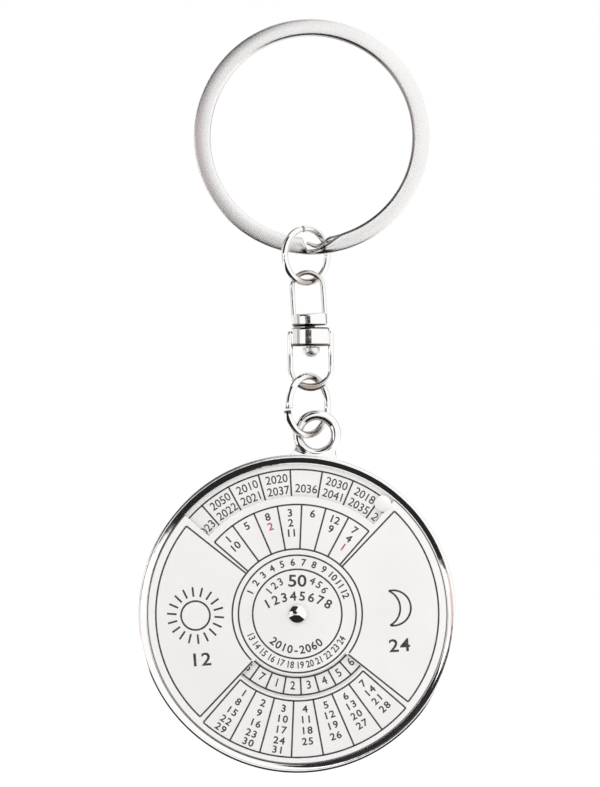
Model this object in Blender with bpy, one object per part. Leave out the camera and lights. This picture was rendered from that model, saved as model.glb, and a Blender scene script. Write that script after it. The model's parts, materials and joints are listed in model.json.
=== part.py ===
"""A metal keychain with a turning perpetual-calendar medallion, hanging from its split ring.

Metres, +Z up. The origin is the inside top of the split ring, where a hook holds it.
The front of the medallion faces -Y. Angles of places on a disc or a ring are clockwise
as seen from the front, and a turn of that angle about +Y carries +Z to such a place.

Chain, from the top: split ring, upper jump ring, swivel (eye, rivet, stirrup), lower jump
ring, and the medallion, whose case holds a printed year disc and a turning month dial.
"""

import math

import bmesh
import bpy
from mathutils import Matrix, Vector

# Split ring: two turns of flat wire
split_ring_diameter = 0.0300
split_wire_width = 0.0021
split_wire_thickness = 0.0009
split_wire_corner = 0.00025
split_layer_gap = 0.0001
crossover_centre_deg = 2.0
crossover_half_deg = 5.5
split_step_deg = 6.0

# Upper jump ring: cut round wire
upper_ring_diameter = 0.0077
upper_ring_wire = 0.00085
upper_ring_yaw_deg = 38.0
upper_ring_travel_deg = 2.6
upper_ring_cut_deg = -4.0
upper_ring_cut_width = 0.00025
upper_ring_end_shift = 0.00020

# Swivel eye: an arch of wire on a round base
eye_width = 0.0046
eye_height = 0.0071
eye_wire = 0.00065
eye_depth = 0.00075
eye_base_diameter = 0.0045
eye_base_height = 0.0015
eye_slide_deg = 3.0
eye_tilt_deg = 3.5

# Swivel stirrup: a barrel on the rivet, with a U-shaped loop under it
swivel_gap = 0.00025
stirrup_tilt_deg = 0.5
barrel_diameter = 0.0049
barrel_height = 0.0024
stirrup_width = 0.0059
stirrup_height = 0.00815
stirrup_wire = 0.0007
stirrup_bar = 0.0010
stirrup_depth = 0.0010
stirrup_shoulder = 0.0005
turned_edge = 0.0003

# Swivel rivet
rivet_diameter = 0.0013
rivet_head_diameter = 0.0022
rivet_head_height = 0.0013
rivet_countersink_diameter = 0.0021
rivet_countersink_depth = 0.0004
swivel_bore_clearance = 0.00013
rivet_head_gap = 0.00015
rivet_seat_clearance = 0.00008

# Lower jump ring
lower_ring_diameter = 0.0084
lower_ring_wire = 0.0009
lower_ring_yaw_deg = 48.0
lower_ring_slide_deg = 10.0
lower_ring_cut_deg = -97.6
lower_ring_cut_width = 0.00030
lower_ring_end_shift = 0.00035

# Medallion case: a dished casting with a bail
case_diameter = 0.0405
case_thickness = 0.0030
bezel_width = 0.0010
bezel_edge = 0.00045
bezel_inner_edge = 0.00045
floor_thickness = 0.0014
back_recess = 0.0003
back_rim_width = 0.0013
bail_slide_deg = 17.0
bail_lean_deg = 6.2
bail_rim_distance = 0.00275
bail_hole_diameter = 0.0036
bail_wall = 0.0013
bail_depth = 0.0014
bail_edge = 0.00045
bail_fillet = 0.0012
bail_root = 0.0005

# Discs of the calendar
dial_recess = 0.0003
dial_thickness = 0.0004
dial_edge_clearance = 0.00022
dial_lean_deg = -4.1
washer_thickness = 0.00012
washer_diameter = 0.0060
washer_dish = 0.00005
year_disc_thickness = 0.0003
year_disc_edge_clearance = 0.00012
stack_clearance = 0.00005

# Windows cut in the month dial
year_window_depth = 0.00403
year_window_half_deg = 44.6
weekday_window_inner_radius = 0.00785
weekday_window_outer_radius = 0.0107
weekday_window_half_deg = 46.6
pip_radius = 0.00105
pip_rim_distance = 0.00123
pip_place_deg = 41.9
pip_height = 0.00015

# Dial rivet
dial_rivet_diameter = 0.0015
dial_rivet_head_diameter = 0.0025
dial_rivet_head_height = 0.0006
dial_rivet_tail_diameter = 0.0026
dial_rivet_tail_height = 0.00022
dial_rivet_pocket_diameter = 0.0030
dial_bore_clearance = 0.00006

# Play in the chain, beyond what the crossing bars need
upper_ring_play = 0.00025
eye_play = 0.0004
lower_ring_play = 0.0003
bail_hang = 0.0001
bail_side_play = 0.0004

# Rounding and profiles, as shares of the sizes they belong to
loop_corner_share = 0.45
leg_end_depth_share = 0.8
leg_end_corner_share = 0.4
rivet_skirt_share = 0.25
bail_lip_share = 0.3
pip_profile_shares = ((0.0, 1.0), (0.55, 0.8), (0.85, 0.3), (1.0, 0.0))

# Facets and tools
wire_sides = 10
ring_steps = 30
turned_steps = 32
disc_steps = 84
corner_steps = 2
dome_steps = 4
fillet_steps = 4
bail_steps = 18
window_steps = 16
cutter_overrun = 0.0005
weld_distance = 0.0000001
sharp_angle_deg = 40.0

bright_nickel = ("bright_nickel", (0.83, 0.81, 0.79), 0.12)
satin_nickel = ("satin_nickel", (0.78, 0.76, 0.74), 0.32)
printed_plate = ("printed_plate", (0.86, 0.85, 0.83), 0.42)
spring_steel = ("spring_steel", (0.62, 0.61, 0.60), 0.30)


def remove_everything():
    for old in list(bpy.data.objects):
        bpy.data.objects.remove(old, do_unlink=True)


def material(node, finish):
    name, colour, roughness = finish
    made = bpy.data.materials.new(node + "_" + name)
    made.use_nodes = True
    shader = made.node_tree.nodes["Principled BSDF"]
    shader.inputs["Base Color"].default_value = (*colour, 1.0)
    shader.inputs["Metallic"].default_value = 1.0
    shader.inputs["Roughness"].default_value = roughness
    return made


def solid(name, shape, finish, parent, place):
    """An object from a bmesh, set at a world matrix under its parent empty."""
    bmesh.ops.recalc_face_normals(shape, faces=shape.faces)
    mesh = bpy.data.meshes.new(name)
    shape.to_mesh(mesh)
    shape.free()
    mesh.shade_smooth()
    mesh.set_sharp_from_angle(angle=math.radians(sharp_angle_deg))
    made = bpy.data.objects.new(name, mesh)
    if finish:
        mesh.materials.append(material(name, finish))
    else:
        made.hide_render = True
        made.display_type = "WIRE"
    attach(made, parent, place)
    return made


def attach(made, parent, place):
    bpy.context.collection.objects.link(made)
    made.parent = parent
    above = parent["place"] if parent else None
    made.matrix_basis = world_of(above).inverted() @ place


def world_of(numbers):
    if numbers is None:
        return Matrix.Identity(4)
    return Matrix([numbers[row * 4 : row * 4 + 4] for row in range(4)])


def pivot(name, parent, place):
    """An empty on a joint's axis, which keeps its own world matrix as numbers."""
    made = bpy.data.objects.new(name, None)
    attach(made, parent, place)
    made["place"] = [value for row in place for value in row]
    return made


def combine(target, other, operation):
    step = target.modifiers.new(other.name, "BOOLEAN")
    step.operation = operation
    step.solver = "EXACT"
    step.object = other


def at(x, y, z):
    return Matrix.Translation((x, y, z))


def turn_y(degrees):
    return Matrix.Rotation(math.radians(degrees), 4, "Y")


def turn_z(degrees):
    return Matrix.Rotation(math.radians(degrees), 4, "Z")


def loft(stations, closed=False):
    """Skins a row of equal loops of points, and caps its two ends unless it closes on itself."""
    shape = bmesh.new()
    loops = [[shape.verts.new(point) for point in station] for station in stations]
    pairs = list(zip(loops, loops[1:]))
    if closed:
        pairs.append((loops[-1], loops[0]))
    for first, second in pairs:
        count = len(first)
        for k in range(count):
            shape.faces.new((first[k], first[(k + 1) % count], second[(k + 1) % count], second[k]))
    if not closed:
        shape.faces.new(loops[0])
        shape.faces.new(loops[-1])
    return shape


def turned(profile, axis, steps):
    """Revolves a closed outline of (radius, height) points about the local Y or Z axis."""
    shape = bmesh.new()
    loops = []
    for step in range(steps):
        angle = math.tau * step / steps
        c = math.cos(angle)
        s = math.sin(angle)
        if axis == "Y":
            loops.append([shape.verts.new((r * s, h, r * c)) for r, h in profile])
        else:
            loops.append([shape.verts.new((r * c, r * s, h)) for r, h in profile])
    count = len(profile)
    for first, second in zip(loops, loops[1:] + loops[:1]):
        for k in range(count):
            corners = (first[k], first[(k + 1) % count], second[(k + 1) % count], second[k])
            shape.faces.new(corners)
    bmesh.ops.remove_doubles(shape, verts=shape.verts, dist=weld_distance)
    return shape


def rounded_corner(centre, radius, start_deg, steps=corner_steps):
    """Points of a quarter arc, anticlockwise from start_deg, for outlines of (a, b) points."""
    points = []
    for k in range(steps + 1):
        angle = math.radians(start_deg + 90.0 * k / steps)
        points.append((centre[0] + radius * math.cos(angle), centre[1] + radius * math.sin(angle)))
    return points


def rounded_rectangle(width, height, radius, steps=corner_steps):
    a = width / 2 - radius
    b = height / 2 - radius
    outline = rounded_corner((a, b), radius, 0.0, steps)
    outline += rounded_corner((-a, b), radius, 90.0, steps)
    outline += rounded_corner((-a, -b), radius, 180.0, steps)
    outline += rounded_corner((a, -b), radius, 270.0, steps)
    return outline


def smooth(t):
    t = min(max(t, 0.0), 1.0)
    return t * t * (3.0 - 2.0 * t)


def drop(radius, reach):
    """How far a circle has fallen from its crown at a sideways reach."""
    return radius - math.sqrt(radius**2 - reach**2)


def crossing_gap(yawed_radius, frontal_radius, depth, yaw_deg):
    """Room at the crown, beside the clearance, where a frontal bar and a yawed ring cross."""
    yaw = math.radians(yaw_deg)
    half = depth / 2
    return drop(yawed_radius, half / math.sin(yaw)) + drop(frontal_radius, half / math.tan(yaw))


# Places down the chain, each from the piece above it
split_outer = split_ring_diameter / 2
split_inner = split_outer - split_wire_width
split_stack = 2 * split_wire_thickness + split_layer_gap
split_place = at(0, 0, -split_inner)

upper_mean = (upper_ring_diameter - upper_ring_wire) / 2
upper_hole = upper_mean - upper_ring_wire / 2
upper_crown_gap = upper_ring_play + crossing_gap(upper_hole, split_inner, split_stack, upper_ring_yaw_deg)
upper_reach = split_inner - upper_crown_gap + upper_hole
travel_place = split_place @ turn_y(upper_ring_travel_deg)
upper_centre = travel_place @ Vector((0, 0, -upper_reach))
upper_place = at(*upper_centre) @ turn_z(upper_ring_yaw_deg)

eye_mean = (eye_width - eye_wire) / 2
eye_hole = eye_mean - eye_wire / 2
eye_crown_gap = eye_play + crossing_gap(upper_mean, eye_hole, eye_depth, upper_ring_yaw_deg)
eye_pivot_place = upper_place @ turn_y(-eye_slide_deg) @ at(0, 0, -upper_mean)
eye_arch_height = upper_ring_wire / 2 + eye_crown_gap - eye_hole
eye_place = at(*eye_pivot_place.translation) @ turn_y(-eye_tilt_deg) @ at(0, 0, eye_arch_height)
eye_base_top = -(eye_height - eye_width / 2 - eye_base_height)
eye_base_bottom = eye_base_top - eye_base_height

barrel_middle = eye_place @ Vector((0, 0, eye_base_bottom - swivel_gap - barrel_height / 2))
swivel_place = at(*barrel_middle) @ turn_y(-stirrup_tilt_deg) @ at(0, 0, barrel_height / 2)
stirrup_outer = stirrup_width / 2
stirrup_round = -(stirrup_height - stirrup_outer)
bar_height = -stirrup_height + stirrup_bar / 2
bar_place = swivel_place @ at(0, 0, bar_height)

lower_mean = (lower_ring_diameter - lower_ring_wire) / 2
lower_hole = lower_mean - lower_ring_wire / 2
bar_inner_radius = stirrup_outer - stirrup_bar
lower_crown_gap = lower_ring_play + crossing_gap(lower_hole, bar_inner_radius, stirrup_depth, lower_ring_yaw_deg)
lower_crown = bar_place.translation + Vector((0, 0, stirrup_bar / 2 + lower_crown_gap))
lower_turn = turn_z(lower_ring_yaw_deg)
lower_centre = lower_crown - lower_turn @ turn_y(lower_ring_slide_deg) @ Vector((0, 0, lower_hole))
lower_place = at(*lower_centre) @ lower_turn

bail_hole = bail_hole_diameter / 2
bail_distance = case_diameter / 2 + bail_rim_distance
bail_outer = bail_hole + bail_wall
bail_pivot_place = lower_place @ turn_y(-bail_slide_deg) @ at(0, 0, -lower_mean)
bail_centre = bail_pivot_place.translation + Vector((bail_side_play, 0, -bail_hang))
medallion_place = at(*bail_centre) @ turn_y(bail_lean_deg) @ at(0, 0, -bail_distance)
dial_place = at(*medallion_place.translation) @ turn_y(dial_lean_deg)

# Depths in the medallion, from the bezel's front at -Y to the back
case_outer = case_diameter / 2
recess_radius = case_outer - bezel_width
case_front = -case_thickness / 2
case_back = case_thickness / 2
floor_back = case_back - back_recess
floor_front = floor_back - floor_thickness
year_disc_back = floor_front - stack_clearance
year_disc_front = year_disc_back - year_disc_thickness
dial_front = case_front + dial_recess
dial_back = dial_front + dial_thickness
dial_radius = recess_radius - dial_edge_clearance
dial_bore = dial_rivet_diameter / 2 + dial_bore_clearance
year_window_inner_radius = dial_radius - year_window_depth
pip_place_radius = dial_radius - pip_rim_distance
pocket_floor = floor_back - (dial_rivet_tail_height + 2 * stack_clearance)


def split_ring_station(angle_deg, layer_y):
    angle = math.radians(angle_deg)
    mean = (split_inner + split_outer) / 2
    outline = rounded_rectangle(split_wire_width, split_wire_thickness, split_wire_corner)
    return [
        ((mean + a) * math.sin(angle), layer_y + b, -(mean + a) * math.cos(angle)) for a, b in outline
    ]


def make_split_ring():
    """Two flat coils that change places in one crossover, where both free ends stop short."""
    half = (split_wire_thickness + split_layer_gap) / 2
    start = crossover_centre_deg - crossover_half_deg
    end = crossover_centre_deg + crossover_half_deg - 720.0
    ramp_start = crossover_centre_deg + crossover_half_deg - 360.0
    ramp_end = crossover_centre_deg - crossover_half_deg - 360.0
    angles = []
    turns = ((start, ramp_start, split_step_deg), (ramp_start, ramp_end, split_step_deg / 4))
    for first, last, step in turns + ((ramp_end, end, split_step_deg),):
        count = math.ceil((first - last) / step)
        angles += [first + (last - first) * k / count for k in range(count)]
    angles.append(end)
    stations = []
    for angle in angles:
        passed = (ramp_start - angle) / (ramp_start - ramp_end)
        stations.append(split_ring_station(angle, half * (2.0 * smooth(passed) - 1.0)))
    return solid("split_ring", loft(stations), satin_nickel, None, split_place)


def jump_ring(name, mean, wire, cut_deg, cut_width, end_shift, parent, place):
    """Round wire bent to a ring, with its two cut ends a little out of line."""
    half_cut = math.degrees(cut_width / 2 / mean)
    first = cut_deg + half_cut
    sweep = 360.0 - 2 * half_cut
    stations = []
    for step in range(ring_steps + 1):
        share = step / ring_steps
        angle = math.radians(first + sweep * share)
        aside = end_shift * (share - 0.5) * abs(2.0 * share - 1.0)
        loop = []
        for side in range(wire_sides):
            around = math.tau * side / wire_sides
            radius = mean + wire / 2 * math.cos(around)
            y = aside + wire / 2 * math.sin(around)
            loop.append((radius * math.sin(angle), y, radius * math.cos(angle)))
        stations.append(loop)
    return solid(name, loft(stations), bright_nickel, parent, place)


def loop_station(x, z, outward, width, depth, corner):
    """A loop's cross-section at (x, z), square to the wire there; outward is a unit (x, z)."""
    outline = rounded_rectangle(width, depth, corner)
    return [(x + a * outward[0], b, z + a * outward[1]) for a, b in outline]


def turned_block(radius, top, bottom, edge):
    """The outline of a short cylinder about Z with rounded rims, from the axis out and back."""
    outline = [(0.0, top)]
    outline += list(reversed(rounded_corner((radius - edge, top - edge), edge, 0.0)))
    outline += list(reversed(rounded_corner((radius - edge, bottom + edge), edge, 270.0)))
    outline.append((0.0, bottom))
    return outline


def make_swivel_eye(parent):
    """An arch of flattened wire that stands on a turned base, bored for the rivet."""
    corner = eye_wire * loop_corner_share
    root = eye_base_top - eye_base_height / 2
    stations = [loop_station(-eye_mean, root, (-1.0, 0.0), eye_wire, eye_depth, corner)]
    arch_steps = ring_steps // 2
    for step in range(arch_steps + 1):
        angle = math.pi * step / arch_steps
        outward = (-math.cos(angle), math.sin(angle))
        stations.append(
            loop_station(
                eye_mean * outward[0], eye_mean * outward[1], outward, eye_wire, eye_depth, corner
            )
        )
    stations.append(loop_station(eye_mean, root, (1.0, 0.0), eye_wire, eye_depth, corner))
    base = turned_block(eye_base_diameter / 2, eye_base_top, eye_base_bottom, turned_edge)
    eye = solid("swivel_eye", turned(base, "Z", turned_steps), bright_nickel, parent, eye_place)
    arch = solid("eye_arch_guide", loft(stations), None, parent, eye_place)
    combine(eye, arch, "UNION")
    bore = rivet_diameter / 2 + rivet_seat_clearance
    sink = rivet_countersink_diameter / 2 + rivet_seat_clearance
    sink_bottom = eye_base_top - rivet_countersink_depth
    outline = [
        (0.0, eye_base_top + cutter_overrun),
        (sink, eye_base_top + cutter_overrun),
        (sink, eye_base_top),
        (bore, sink_bottom),
        (bore, eye_base_bottom - cutter_overrun),
        (0.0, eye_base_bottom - cutter_overrun),
    ]
    cutter = solid("eye_bore_cutter", turned(outline, "Z", turned_steps), None, parent, eye_place)
    combine(eye, cutter, "DIFFERENCE")
    return eye


def make_swivel_rivet(parent):
    """A shank closed flush in the eye's countersink, with a domed head under the barrel."""
    shank = rivet_diameter / 2
    top = eye_base_top - rivet_seat_clearance
    cone_bottom = eye_base_top - rivet_countersink_depth + rivet_seat_clearance
    seat = eye_base_bottom - swivel_gap - barrel_height - rivet_head_gap
    outline = [
        (0.0, top),
        (rivet_countersink_diameter / 2 - rivet_seat_clearance, top),
        (shank, cone_bottom),
        (shank, seat),
    ]
    head = rivet_head_diameter / 2
    skirt = rivet_head_height * rivet_skirt_share
    dome = rivet_head_height - skirt
    outline.append((head, seat))
    outline.append((head, seat - skirt))
    for step in range(1, dome_steps + 1):
        angle = math.pi / 2 * step / dome_steps
        outline.append((head * math.cos(angle), seat - skirt - dome * math.sin(angle)))
    outline[-1] = (0.0, seat - rivet_head_height)
    return solid("swivel_rivet", turned(outline, "Z", turned_steps), bright_nickel, parent, eye_place)


def make_swivel_stirrup(parent):
    """A barrel that turns on the rivet, and a U of wire that thickens into its bar."""
    corner = stirrup_wire * loop_corner_share
    leg = stirrup_outer - stirrup_wire / 2
    tip = stirrup_wire / 2
    tip_depth = stirrup_depth * leg_end_depth_share
    tip_corner = tip * leg_end_corner_share
    shoulder = -stirrup_shoulder
    stations = []
    stations.append(loop_station(-leg, shoulder, (-1.0, 0.0), tip, tip_depth, tip_corner))
    stations.append(
        loop_station(-leg, shoulder - tip, (-1.0, 0.0), stirrup_wire, stirrup_depth, corner)
    )
    round_steps = ring_steps // 2
    for step in range(round_steps + 1):
        angle = math.pi * step / round_steps
        outward = (-math.cos(angle), -math.sin(angle))
        width = stirrup_wire + (stirrup_bar - stirrup_wire) * math.sin(angle) ** 2
        middle = stirrup_outer - width / 2
        x = middle * outward[0]
        z = stirrup_round + middle * outward[1]
        stations.append(loop_station(x, z, outward, width, stirrup_depth, corner))
    stations.append(
        loop_station(leg, shoulder - tip, (1.0, 0.0), stirrup_wire, stirrup_depth, corner)
    )
    stations.append(loop_station(leg, shoulder, (1.0, 0.0), tip, tip_depth, tip_corner))
    barrel = turned_block(barrel_diameter / 2, 0.0, -barrel_height, turned_edge)
    stirrup = solid(
        "swivel_stirrup", turned(barrel, "Z", turned_steps), bright_nickel, parent, swivel_place
    )
    loop = solid("stirrup_loop_guide", loft(stations), None, parent, swivel_place)
    combine(stirrup, loop, "UNION")
    bore = rivet_diameter / 2 + swivel_bore_clearance
    outline = [
        (0.0, cutter_overrun),
        (bore, cutter_overrun),
        (bore, -barrel_height - cutter_overrun),
        (0.0, -barrel_height - cutter_overrun),
    ]
    cutter = solid(
        "barrel_bore_cutter", turned(outline, "Z", turned_steps // 2), None, parent, swivel_place
    )
    combine(stirrup, cutter, "DIFFERENCE")
    return stirrup


def case_outline():
    """The dished case's section, as (radius, depth), round from the bore's front."""
    back_rim = case_outer - back_rim_width
    outline = [(dial_bore, floor_front), (recess_radius, floor_front)]
    inner = rounded_corner(
        (recess_radius + bezel_inner_edge, case_front + bezel_inner_edge), bezel_inner_edge, 180.0
    )
    outline += inner
    outline += rounded_corner((case_outer - bezel_edge, case_front + bezel_edge), bezel_edge, 270.0)
    outline += rounded_corner((case_outer - bezel_edge, case_back - bezel_edge), bezel_edge, 0.0)
    outline += [(back_rim, case_back), (back_rim, floor_back)]
    pocket = dial_rivet_pocket_diameter / 2
    outline += [(pocket, floor_back), (pocket, pocket_floor), (dial_bore, pocket_floor)]
    return outline


def bail_outline():
    """The bail and its foot, as (x, z): a round eye that flows into the rim with a fillet."""
    to_rim = case_outer + bail_fillet
    to_bail = bail_outer + bail_fillet
    cosine = (to_rim**2 + bail_distance**2 - to_bail**2) / (2 * to_rim * bail_distance)
    lean = math.acos(cosine)
    fillet_x = to_rim * math.sin(lean)
    fillet_z = to_rim * math.cos(lean)
    rim_angle = math.atan2(-fillet_z, -fillet_x)
    bail_angle = math.atan2(bail_distance - fillet_z, -fillet_x)
    right = []
    for step in range(fillet_steps + 1):
        angle = rim_angle + (bail_angle - math.tau - rim_angle) * step / fillet_steps
        right.append(
            (fillet_x + bail_fillet * math.cos(angle), fillet_z + bail_fillet * math.sin(angle))
        )
    start = math.atan2(right[-1][1] - bail_distance, right[-1][0])
    over = []
    for step in range(1, bail_steps):
        angle = start + (math.pi - 2 * start) * step / bail_steps
        over.append((bail_outer * math.cos(angle), bail_distance + bail_outer * math.sin(angle)))
    left = [(-x, z) for x, z in reversed(right)]
    root_z = case_outer - bail_root
    foot_left = (left[-1][0], root_z * math.cos(lean))
    foot_right = (right[0][0], root_z * math.cos(lean))
    return right + over + left + [foot_left, foot_right]


def make_medallion_case(parent):
    """One casting: a floor in a rounded rim, and the bail at its top."""
    case = solid(
        "medallion_case",
        turned(case_outline(), "Y", disc_steps),
        bright_nickel,
        parent,
        medallion_place,
    )
    outline = bail_outline()
    stations = []
    half = bail_depth / 2
    middle = Vector((0.0, bail_distance))
    flat = half - bail_edge
    for y, inset in ((-half, bail_edge), (-flat, 0.0), (flat, 0.0), (half, bail_edge)):
        loop = []
        for x, z in outline:
            point = Vector((x, z))
            if inset and z > case_outer:
                point += (middle - point).normalized() * inset
            loop.append((point.x, y, point.y))
        stations.append(loop)
    bail = solid("bail_guide", loft(stations), None, parent, medallion_place)
    combine(case, bail, "UNION")
    lip = bail_edge
    hole = []
    hole.append((0.0, -half - cutter_overrun))
    hole.append((bail_hole + lip + cutter_overrun, -half - cutter_overrun))
    hole.append((bail_hole + lip, -half))
    hole.append((bail_hole + lip * bail_lip_share, -half + lip * bail_lip_share))
    hole.append((bail_hole, -half + lip))
    hole += [(radius, -y) for radius, y in reversed(hole)]
    cutter = solid(
        "bail_hole_cutter",
        turned(hole, "Y", turned_steps),
        None,
        parent,
        medallion_place @ at(0, 0, bail_distance),
    )
    combine(case, cutter, "DIFFERENCE")
    return case


def annulus(inner, outer, front, back):
    return [(inner, front), (outer, front), (outer, back), (inner, back)]


def make_year_disc(parent):
    """The printed disc that lies fixed on the case's floor, under the dial."""
    outline = annulus(
        dial_bore, recess_radius - year_disc_edge_clearance, year_disc_front, year_disc_back
    )
    return solid("year_disc", turned(outline, "Y", disc_steps), printed_plate, parent, medallion_place)


def make_friction_washer(parent):
    """A thin dished washer that drags on the dial, so that it stays where it is set."""
    back = year_disc_front - stack_clearance
    front = back - washer_thickness
    outer = washer_diameter / 2
    outline = [
        (dial_bore, front - washer_dish),
        (outer, front),
        (outer, back),
        (dial_bore, back - washer_dish),
    ]
    return solid("friction_washer", turned(outline, "Y", turned_steps), spring_steel, parent, medallion_place)


def make_dial_rivet(parent):
    """A shank through the stack, with a domed head in front and a flat tail in the back."""
    shank = dial_rivet_diameter / 2
    seat = dial_front - stack_clearance
    head = dial_rivet_head_diameter / 2
    tail = dial_rivet_tail_diameter / 2
    tail_front = pocket_floor + stack_clearance
    tail_back = tail_front + dial_rivet_tail_height
    outline = [(0.0, seat - dial_rivet_head_height)]
    for step in range(dome_steps - 1, -1, -1):
        angle = math.pi / 2 * step / dome_steps
        outline.append((head * math.cos(angle), seat - dial_rivet_head_height * math.sin(angle)))
    outline += [(shank, seat), (shank, tail_front), (tail, tail_front), (tail, tail_back), (0.0, tail_back)]
    return solid("dial_rivet", turned(outline, "Y", turned_steps // 2), bright_nickel, parent, medallion_place)


def window(inner, outer, half_deg, middle_deg):
    """A prism over a band of the dial, from inner to outer radius, either side of an angle."""
    front = dial_front - cutter_overrun
    back = dial_back + cutter_overrun
    flat = []
    for radius, direction in ((inner, 1.0), (outer, -1.0)):
        for step in range(window_steps + 1):
            share = step / window_steps
            angle = math.radians(middle_deg + direction * half_deg * (2.0 * share - 1.0))
            flat.append((radius * math.sin(angle), radius * math.cos(angle)))
    return loft([[(x, y, z) for x, z in flat] for y in (front, back)])


def make_month_dial(parent):
    """The turning disc, with an open notch over the years and a window over the weekdays."""
    plate = annulus(dial_bore, dial_radius, dial_front, dial_back)
    dial = solid("month_dial", turned(plate, "Y", disc_steps), printed_plate, parent, dial_place)
    years = solid(
        "year_window_cutter",
        window(year_window_inner_radius, dial_radius + cutter_overrun, year_window_half_deg, 0.0),
        None,
        parent,
        dial_place,
    )
    combine(dial, years, "DIFFERENCE")
    days = solid(
        "weekday_window_cutter",
        window(
            weekday_window_inner_radius, weekday_window_outer_radius, weekday_window_half_deg, 180.0
        ),
        None,
        parent,
        dial_place,
    )
    combine(dial, days, "DIFFERENCE")
    pip_outline = [(pip_radius * out, dial_front - pip_height * up) for out, up in pip_profile_shares]
    pip_outline += [(pip_radius, dial_back), (0.0, dial_back)]
    pip = solid(
        "pip_guide",
        turned(pip_outline, "Y", turned_steps // 2),
        None,
        parent,
        dial_place @ turn_y(pip_place_deg) @ at(0, 0, pip_place_radius),
    )
    combine(dial, pip, "UNION")
    return dial


def make_keychain():
    remove_everything()
    make_split_ring()
    travel = pivot("ring_travel_axis", None, travel_place)
    jump_ring(
        "upper_jump_ring",
        upper_mean,
        upper_ring_wire,
        upper_ring_cut_deg,
        upper_ring_cut_width,
        upper_ring_end_shift,
        travel,
        upper_place,
    )
    eye_axis = pivot("eye_swing_axis", travel, eye_pivot_place)
    make_swivel_eye(eye_axis)
    make_swivel_rivet(eye_axis)
    swivel_axis = pivot("swivel_turn_axis", eye_axis, swivel_place)
    make_swivel_stirrup(swivel_axis)
    bar_axis = pivot("lower_ring_swing_axis", swivel_axis, bar_place)
    jump_ring(
        "lower_jump_ring",
        lower_mean,
        lower_ring_wire,
        lower_ring_cut_deg,
        lower_ring_cut_width,
        lower_ring_end_shift,
        bar_axis,
        lower_place,
    )
    bail_axis = pivot("medallion_swing_axis", bar_axis, bail_pivot_place)
    make_medallion_case(bail_axis)
    make_year_disc(bail_axis)
    make_friction_washer(bail_axis)
    make_dial_rivet(bail_axis)
    dial_axis = pivot("dial_turn_axis", bail_axis, dial_place)
    make_month_dial(dial_axis)


make_keychain()
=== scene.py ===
# %% [markdown]
# # A calendar keychain in nickel
# The real object hangs from a flat split ring: two jump rings, a small swivel and a round
# medallion with a printed dial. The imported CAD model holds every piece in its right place,
# with few facets. This lesson makes the same pieces again with smooth surfaces, gives them
# nickel and printed finishes, and lights them like a catalogue photograph.

# %% Load the frame
import json
import math
from math import cos, pi, radians, sin

import bmesh
import bpy
from mathutils import Matrix, Vector


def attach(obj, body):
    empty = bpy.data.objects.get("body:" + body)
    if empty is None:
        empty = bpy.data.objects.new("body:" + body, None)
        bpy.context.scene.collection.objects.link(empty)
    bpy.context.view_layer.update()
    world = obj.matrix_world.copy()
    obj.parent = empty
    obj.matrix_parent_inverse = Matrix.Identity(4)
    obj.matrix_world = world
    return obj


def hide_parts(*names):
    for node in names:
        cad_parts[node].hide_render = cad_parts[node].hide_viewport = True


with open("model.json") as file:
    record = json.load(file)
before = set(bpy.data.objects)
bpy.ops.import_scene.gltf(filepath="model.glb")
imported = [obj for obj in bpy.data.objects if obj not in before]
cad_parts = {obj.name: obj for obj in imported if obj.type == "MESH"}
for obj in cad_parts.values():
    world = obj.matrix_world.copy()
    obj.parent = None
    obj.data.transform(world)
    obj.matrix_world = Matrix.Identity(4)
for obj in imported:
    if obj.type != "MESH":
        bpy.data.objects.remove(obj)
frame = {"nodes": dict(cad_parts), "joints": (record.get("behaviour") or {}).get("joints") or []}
scene = bpy.context.scene
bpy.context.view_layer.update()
mm = 0.001
joint_at = {joint["name"]: Vector(joint["pos_m"]) for joint in frame["joints"]}
print("joints:", ", ".join(sorted(joint_at)))

# %% [markdown]
# ## Places down the chain
# Every piece is made about its own middle and then put in place. The places come from the
# joints, so they stay right if the chain is ever lengthened. A turn about +Y is clockwise as
# seen from the front, like the hands of a clock. A jump ring is tilted out of the front plane
# and hangs a little aside, so its place is worked out from the spot where its wire bears.


# %% Small matrices
def at(x, y, z):
    return Matrix.Translation((x, y, z))


def turn_y(degrees):
    return Matrix.Rotation(radians(degrees), 4, "Y")


def hung_ring(joint, mean, tilt, aside):
    """A jump ring's place, from the joint at the low spot of its wire."""
    tilted = Matrix.Rotation(radians(tilt), 4, "Z")
    hang = tilted @ turn_y(aside) @ Vector((0, 0, -mean))
    return at(*(joint_at[joint] - hang)) @ tilted


# %% Where each piece goes
upper_ring_mean = 3.425 * mm
lower_ring_mean = 3.75 * mm
barrel_height = 2.4 * mm
arch_above_barrel = 6.25 * mm
eye_lean = -3.5
stirrup_lean = -0.5
medallion_turn = 6.2
dial_turn = -4.1

split_place = at(*joint_at["ring_travel"])
upper_ring_place = hung_ring("eye_swing", upper_ring_mean, tilt=38.0, aside=-3.0)
lower_ring_place = hung_ring("medallion_swing", lower_ring_mean, tilt=48.0, aside=-17.0)
stirrup_place = at(*joint_at["swivel_turn"]) @ turn_y(stirrup_lean)
barrel_middle = stirrup_place @ Vector((0, 0, -barrel_height / 2))
eye_place = at(*barrel_middle) @ turn_y(eye_lean) @ at(0, 0, arch_above_barrel)
medallion_place = at(*joint_at["dial_turn"]) @ turn_y(medallion_turn)
dial_place = at(*joint_at["dial_turn"]) @ turn_y(dial_turn)
print("medallion's middle, in mm:", [round(v / mm, 2) for v in joint_at["dial_turn"]])

# %% [markdown]
# ## Nodes as Python
# Both shaders and Geometry Nodes are trees of nodes. One class wraps an output socket and lets
# Python's own operators add Math nodes, so a formula reads as a formula. One method adds any
# other node from its type, the values or links of its sockets, and its settings.


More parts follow.
